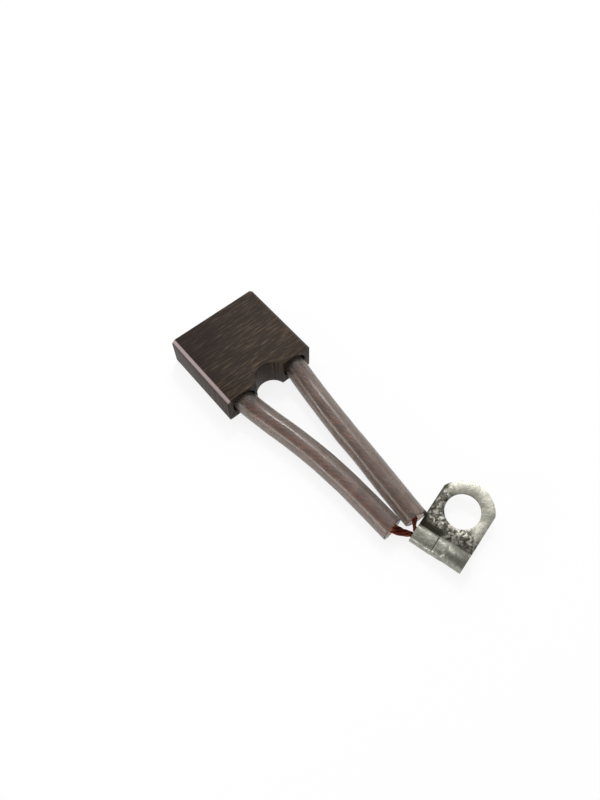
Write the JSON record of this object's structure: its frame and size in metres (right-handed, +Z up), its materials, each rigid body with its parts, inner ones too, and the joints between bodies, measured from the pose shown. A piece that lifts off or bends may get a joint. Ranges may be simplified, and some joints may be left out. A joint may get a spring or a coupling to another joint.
{
  "type": "carbon brush",
  "caption": "Copper-graphite brush block with a round notch in its lead face, sleeved copper leads and a shared ring terminal turned to one side.",
  "frame": {"origin": "middle of the block's underside, on the surface that the block, the leads and the terminal lie on", "axes": "+X across the block and its leads, to the side that the terminal's tongue points to; +Y from the lead face to the contact face; +Z up, through the block's thickness"},
  "size_m": [0.0244, 0.0651, 0.0064],
  "materials": {
    "copper_graphite": "satin, pressed metal-graphite with fine drag lines",
    "copper_strands": "stranded bare copper, slightly darkened",
    "smoky_sleeve": "translucent, semi-gloss",
    "tinned_sheet": "hot-tinned, uneven"
  },
  "bodies": {
    "root": {"brush_body": "copper_graphite", "shunt_left": "copper_strands", "shunt_right": "copper_strands", "sleeve_left": "smoky_sleeve", "sleeve_right": "smoky_sleeve", "terminal": "tinned_sheet"}
  },
  "joints": []
}
